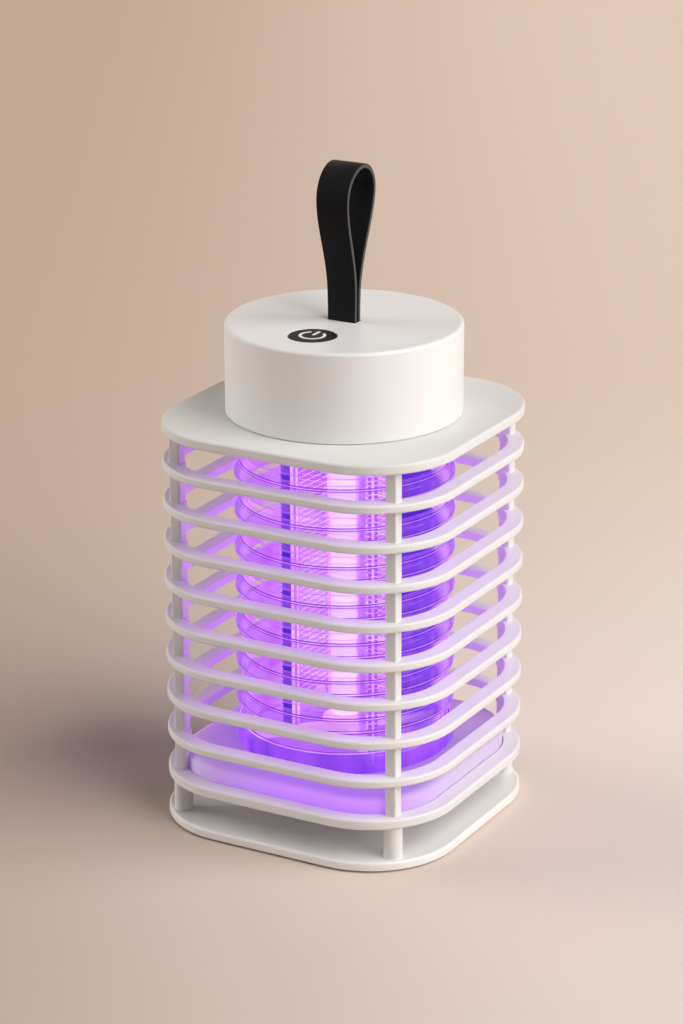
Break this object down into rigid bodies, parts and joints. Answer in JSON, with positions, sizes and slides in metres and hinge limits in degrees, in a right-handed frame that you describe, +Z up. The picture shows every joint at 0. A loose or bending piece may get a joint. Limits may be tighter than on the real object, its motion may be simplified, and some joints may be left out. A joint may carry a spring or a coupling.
{
  "type": "electric bug zapper",
  "caption": "Portable bug zapper: square ringed cage on a raised base, banded clear guard around a UV tube and wire grid, round cap with power button and strap loop.",
  "frame": {"origin": "middle of the base, on the surface that the rubber feet stand on", "axes": "+Z up along the lamp tube, -Y to the front, the side of the power button"},
  "size_m": [0.1, 0.1, 0.2134],
  "materials": {
    "white_plastic": "satin moulded",
    "clear_guard": "clear, tinted violet",
    "violet_comb": "deep violet",
    "tube_glass": "glowing tube",
    "black_plastic": "satin",
    "black_strap": "smooth black with bare cut edges",
    "black_rubber": "matt",
    "steel": "bright",
    "board_green": "solder mask",
    "cell_wrap": "shrink wrap",
    "ceramic_white": "unglazed",
    "lead_red": "insulation"
  },
  "bodies": {
    "base": {"base_plate": "white_plastic", "lower_frame": "white_plastic", "tray": "white_plastic", "rubber_foot_front_left": "black_rubber", "rubber_foot_front_right": "black_rubber", "rubber_foot_back_right": "black_rubber", "rubber_foot_back_left": "black_rubber", "base_screw_front_left": "steel", "base_screw_front_right": "steel", "base_screw_back_right": "steel", "base_screw_back_left": "steel"},
    "cage": {"top_plate": "white_plastic", "cage_post_front_left": "white_plastic", "cage_post_front_right": "white_plastic", "cage_post_back_right": "white_plastic", "cage_post_back_left": "white_plastic", "ring_1": "white_plastic", "ring_2": "white_plastic", "ring_3": "white_plastic", "ring_4": "white_plastic", "ring_5": "white_plastic", "ring_6": "white_plastic", "ring_7": "white_plastic", "ring_8": "white_plastic"},
    "head": {"cap": "white_plastic", "head_floor": "white_plastic", "friction_ring": "black_rubber", "floor_screw_1": "steel", "floor_screw_2": "steel", "floor_screw_3": "steel", "usb_socket": "steel", "strap_pin": "steel", "tube_cap_upper": "steel", "tube_cap_lower": "steel", "grid_wire_a": "steel", "grid_wire_b": "steel", "guard": "clear_guard", "grid_comb_front_left": "violet_comb", "grid_comb_front_right": "violet_comb", "grid_comb_back_right": "violet_comb", "grid_comb_back_left": "violet_comb", "uv_tube": "tube_glass", "push_switch": "black_plastic", "hv_transformer": "black_plastic", "hv_capacitor": "black_plastic", "strap_tail": "black_strap", "circuit_board": "board_green", "battery": "cell_wrap", "lamp_holder": "ceramic_white", "lower_hub": "ceramic_white", "lamp_lead": "lead_red", "grid_lead_a": "lead_red", "grid_lead_b": "lead_red", "battery_lead": "lead_red"},
    "button": {"power_button": "black_plastic"},
    "strap": {"strap": "black_strap"}
  },
  "joints": [
    {"name": "cage_lift", "type": "slide", "parent": "base", "child": "cage", "axis": [0, 0, 1], "range_m": [0, 0.06]},
    {"name": "head_lift", "type": "slide", "parent": "cage", "child": "head", "axis": [0, 0, 1], "range_m": [0, 0.115]},
    {"name": "button_press", "type": "slide", "parent": "head", "child": "button", "axis": [0, 0, -1], "range_m": [0, 0.0006], "stiffness_N_per_m": 1500},
    {"name": "strap_bend", "type": "hinge", "parent": "head", "child": "strap", "pos_m": [0, 0, 0.16572], "axis": [1, 0, 0], "range_deg": [-65, 65], "stiffness_Nm_per_rad": 0.01}
  ]
}
